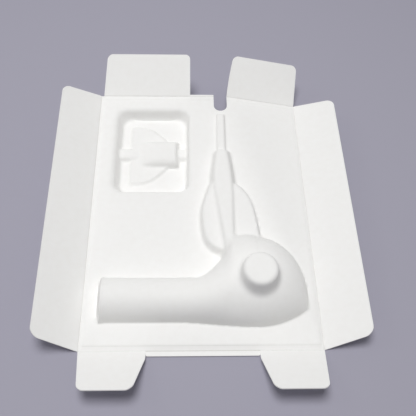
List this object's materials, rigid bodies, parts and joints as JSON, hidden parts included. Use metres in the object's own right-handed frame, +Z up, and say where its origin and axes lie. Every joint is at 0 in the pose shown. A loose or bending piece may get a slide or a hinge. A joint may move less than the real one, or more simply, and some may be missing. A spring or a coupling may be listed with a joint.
{
  "type": "molded pulp tray",
  "caption": "One-piece moulded fibre packing tray with a hollow shaped for a hair dryer, a sunk tray for its nozzle, a slot for the lead and fold-up side flaps and tabs.",
  "frame": {"origin": "centre of the bounding box, at the floor the tray lies on", "axes": "+X to the right, +Y away from the front edge with the bottom tabs, +Z up. The tray lies with the outside of its hollows up and leans back by 4.7 degrees"},
  "size_m": [0.352, 0.424, 0.0622],
  "materials": {
    "pulp": "matte"
  },
  "bodies": {
    "root": {"tray": "pulp"}
  },
  "joints": []
}
